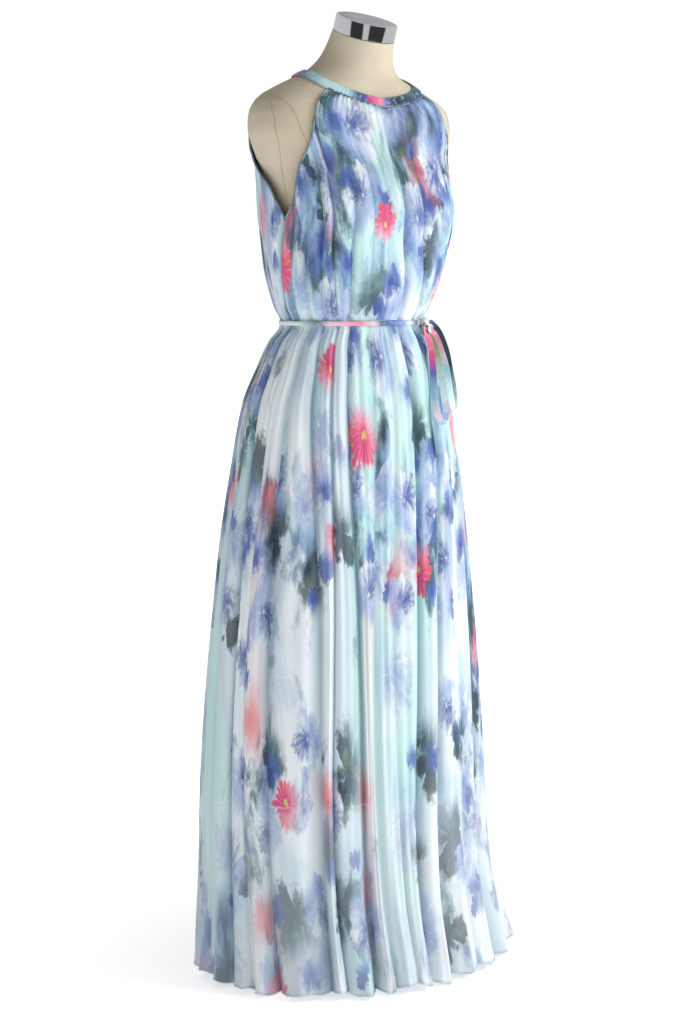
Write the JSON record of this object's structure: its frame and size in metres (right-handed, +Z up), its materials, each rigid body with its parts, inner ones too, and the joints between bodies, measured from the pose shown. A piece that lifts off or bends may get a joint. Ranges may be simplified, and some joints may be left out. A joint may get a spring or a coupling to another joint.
{
  "type": "sleeveless halter maxi dress on a limbless dress form",
  "caption": "Floor-length chiffon dress with a gathered halter neckband and tied waist, hanging in folds over a shorter lining, on a limbless padded dress form with a pole and round base.",
  "frame": {"origin": "middle of the underside of the form's round base, on the floor", "axes": "+Z up along the pole, the front of the dress faces -Y, the wearer's left is +X"},
  "size_m": [0.5475, 0.4432, 1.4964],
  "materials": {
    "printed_chiffon": "sheer crinkled chiffon printed with blurred watercolour flowers, soft matt",
    "lining_cloth": "pale plain woven slip lining, faint sheen",
    "band_chiffon": "folded printed chiffon, matt",
    "tie_chiffon": "narrow sewn ribbon of the printed chiffon, matt",
    "form_linen": "natural linen stretched smooth over padding, fine plain weave",
    "cap_chrome": "polished chrome rim with a satin grey top disc",
    "stand_steel": "satin steel"
  },
  "bodies": {
    "root": {"dress_front": "printed_chiffon", "dress_back": "printed_chiffon", "lining": "lining_cloth", "neckband": "band_chiffon", "waist_tie": "tie_chiffon", "tie_knot": "tie_chiffon", "tie_loop_right": "tie_chiffon", "tie_loop_left": "tie_chiffon", "tie_tail_long": "tie_chiffon", "tie_tail_short": "tie_chiffon", "form_torso": "form_linen", "form_neck_cap": "cap_chrome", "form_pole": "stand_steel", "form_base": "stand_steel"}
  },
  "joints": []
}
